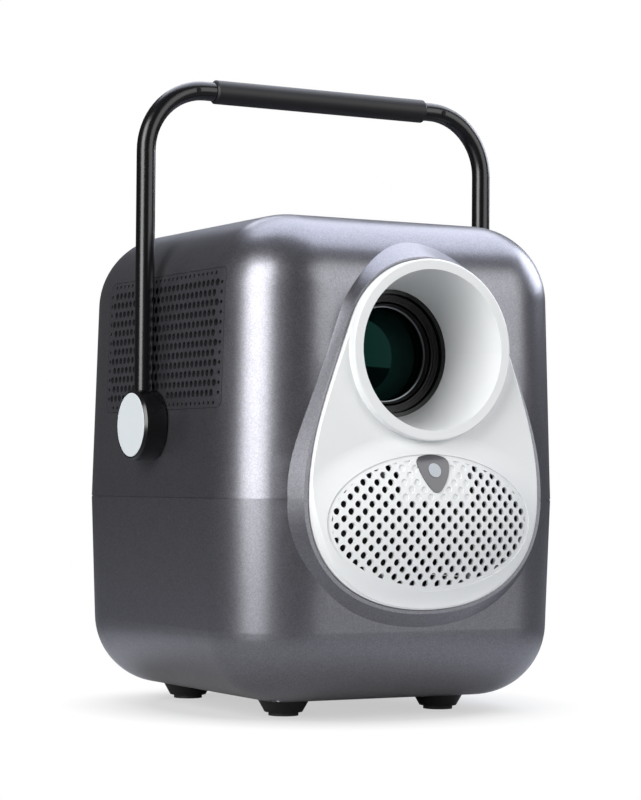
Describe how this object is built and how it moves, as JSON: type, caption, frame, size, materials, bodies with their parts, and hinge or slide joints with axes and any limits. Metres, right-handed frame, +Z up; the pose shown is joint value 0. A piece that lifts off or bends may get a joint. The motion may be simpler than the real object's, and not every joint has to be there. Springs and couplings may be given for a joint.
{
  "type": "portable projector with built-in disc tray",
  "caption": "Compact lifestyle projector with a hooded lens, perforated speaker face, swinging carry handle, side vents and a motorised disc tray",
  "frame": {"origin": "on the floor under the middle of the whole part's bounding box", "axes": "+X to the viewer's right when facing the lens, -Y out of the lens, +Z up; metres"},
  "size_m": [0.223, 0.2376, 0.333],
  "materials": {
    "case_paint": "fine metallic gunmetal paint, satin",
    "white_panel": "white moulded plastic, semi-gloss",
    "cap_white": "white moulded plastic, satin",
    "black_gloss": "black plastic, gloss",
    "black_matte": "black plastic, matte",
    "handle_paint": "black enamel, semi-gloss",
    "grip_rubber": "black soft-touch rubber",
    "pad_rubber": "black rubber",
    "grille_paint": "fine metallic gunmetal paint, satin",
    "sensor_grey": "smoked infrared plastic",
    "eye_grey": "small moulded lens",
    "lens_glass": "coated optical glass",
    "optic_glass": "clear optical plastic",
    "bare_steel": "bare steel",
    "cast_aluminium": "plain aluminium",
    "brass_gear": "turned brass",
    "paper_cone": "black coated paper cone",
    "foam_filter": "open foam",
    "board_green": "green circuit board",
    "drive_plastic": "black plastic, fine texture",
    "key_plastic": "dark grey key plastic"
  },
  "bodies": {
    "case": {"upper_case": "case_paint", "lower_case": "case_paint", "front_panel": "white_panel", "sensor_window": "sensor_grey", "sensor_lens": "eye_grey", "left_vent_grille": "grille_paint", "right_vent_grille": "grille_paint", "feet": "black_matte", "foot_pads": "pad_rubber", "lens_barrel": "black_gloss", "speaker_frames": "bare_steel", "speaker_cones": "paper_cone", "pivot_studs": "bare_steel", "focus_motor": "bare_steel", "engine_housing": "black_matte", "lcd_panel": "optic_glass", "condenser_optics": "optic_glass", "led_module": "cast_aluminium", "heat_sink": "cast_aluminium", "fan_frames": "black_matte", "dust_filters": "foam_filter", "drive_chassis": "bare_steel", "main_board": "board_green", "power_supply": "board_green", "hdmi_usb_ports": "bare_steel", "audio_jacks": "black_gloss", "rear_panel": "black_matte", "power_inlet": "black_matte", "switch_housing": "black_matte", "key_plate": "black_gloss", "key_board": "board_green", "case_screws": "bare_steel"},
    "handle": {"handle_tube": "handle_paint", "handle_grip": "grip_rubber", "grip_pins": "bare_steel", "left_hub": "black_gloss", "right_hub": "black_gloss", "left_hub_cap": "cap_white", "right_hub_cap": "cap_white"},
    "lens": {"lens_cell": "black_matte", "lens_elements": "lens_glass"},
    "focus_gear": {"focus_ring": "black_matte"},
    "pinion": {"focus_pinion": "brass_gear"},
    "left_fan": {"left_fan_rotor": "black_matte"},
    "right_fan": {"right_fan_rotor": "black_matte"},
    "rails": {"tray_rails": "bare_steel"},
    "tray": {"disc_tray": "drive_plastic", "tray_bezel": "grille_paint", "guide_rods": "bare_steel", "tray_motors": "bare_steel"},
    "turntable": {"spindle_turntable": "black_matte"},
    "sled": {"pickup_sled": "cast_aluminium"},
    "sled_screw": {"lead_screw": "bare_steel"},
    "eject": {"eject_button": "black_gloss"},
    "rocker": {"power_rocker": "black_gloss"},
    "power_key": {"power_key": "key_plastic"},
    "volume_down_key": {"volume_down_key": "key_plastic"},
    "play_key": {"play_key": "key_plastic"},
    "volume_up_key": {"volume_up_key": "key_plastic"},
    "source_key": {"source_key": "key_plastic"}
  },
  "joints": [
    {"name": "handle_swing", "type": "hinge", "parent": "case", "child": "handle", "pos_m": [0, 0.00555, 0.1487], "axis": [1, 0, 0], "range_deg": [-90, 90]},
    {"name": "focus_turn", "type": "hinge", "parent": "case", "child": "focus_gear", "pos_m": [0, -0.05395, 0.1862], "axis": [0, 1, 0], "range_deg": [-62, 62]},
    {"name": "lens_slide", "type": "slide", "parent": "case", "child": "lens", "axis": [0, -1, 0], "range_m": [-0.0025, 0.0025]},
    {"name": "pinion_turn", "type": "hinge", "parent": "case", "child": "pinion", "pos_m": [-0.03253, -0.05395, 0.15367], "axis": [0, 1, 0], "range_deg": [-415, 415]},
    {"name": "left_fan_spin", "type": "hinge", "parent": "case", "child": "left_fan", "pos_m": [-0.083, 0.03255, 0.191], "axis": [1, 0, 0], "continuous": true},
    {"name": "right_fan_spin", "type": "hinge", "parent": "case", "child": "right_fan", "pos_m": [0.083, 0.03255, 0.191], "axis": [1, 0, 0], "continuous": true},
    {"name": "tray_slide", "type": "slide", "parent": "case", "child": "tray", "axis": [1, 0, 0], "range_m": [0, 0.128]},
    {"name": "rail_slide", "type": "slide", "parent": "case", "child": "rails", "axis": [1, 0, 0], "range_m": [0, 0.064]},
    {"name": "turntable_spin", "type": "hinge", "parent": "tray", "child": "turntable", "pos_m": [0.0315, 0.01605, 0.058], "axis": [0, 0, 1], "continuous": true},
    {"name": "sled_slide", "type": "slide", "parent": "tray", "child": "sled", "axis": [-1, 0, 0], "range_m": [0, 0.0325]},
    {"name": "screw_turn", "type": "hinge", "parent": "tray", "child": "sled_screw", "pos_m": [0, -0.00395, 0.05375], "axis": [1, 0, 0], "range_deg": [-1, 1441]},
    {"name": "eject_press", "type": "slide", "parent": "tray", "child": "eject", "axis": [-1, 0, 0], "range_m": [0, 0.001], "stiffness_N_per_m": 1500, "springref_m": -0.0003},
    {"name": "rocker_tilt", "type": "hinge", "parent": "case", "child": "rocker", "pos_m": [-0.024, 0.11255, 0.078], "axis": [-1, 0, 0], "range_deg": [0, 18]},
    {"name": "power_press", "type": "slide", "parent": "case", "child": "power_key", "axis": [0, 0, -1], "range_m": [0, 0.0008], "stiffness_N_per_m": 1500, "springref_m": -0.0003},
    {"name": "volume_down_press", "type": "slide", "parent": "case", "child": "volume_down_key", "axis": [0, 0, -1], "range_m": [0, 0.0008], "stiffness_N_per_m": 1500, "springref_m": -0.0003},
    {"name": "play_press", "type": "slide", "parent": "case", "child": "play_key", "axis": [0, 0, -1], "range_m": [0, 0.0008], "stiffness_N_per_m": 1500, "springref_m": -0.0003},
    {"name": "volume_up_press", "type": "slide", "parent": "case", "child": "volume_up_key", "axis": [0, 0, -1], "range_m": [0, 0.0008], "stiffness_N_per_m": 1500, "springref_m": -0.0003},
    {"name": "source_press", "type": "slide", "parent": "case", "child": "source_key", "axis": [0, 0, -1], "range_m": [0, 0.0008], "stiffness_N_per_m": 1500, "springref_m": -0.0003}
  ],
  "couplings": [
    {"joint": "focus_turn", "follows": "lens_slide", "rad_per_m": 416.67},
    {"joint": "pinion_turn", "follows": "lens_slide", "rad_per_m": -2777.8},
    {"joint": "rail_slide", "follows": "tray_slide", "ratio": 0.5},
    {"joint": "screw_turn", "follows": "sled_slide", "rad_per_m": 773}
  ]
}
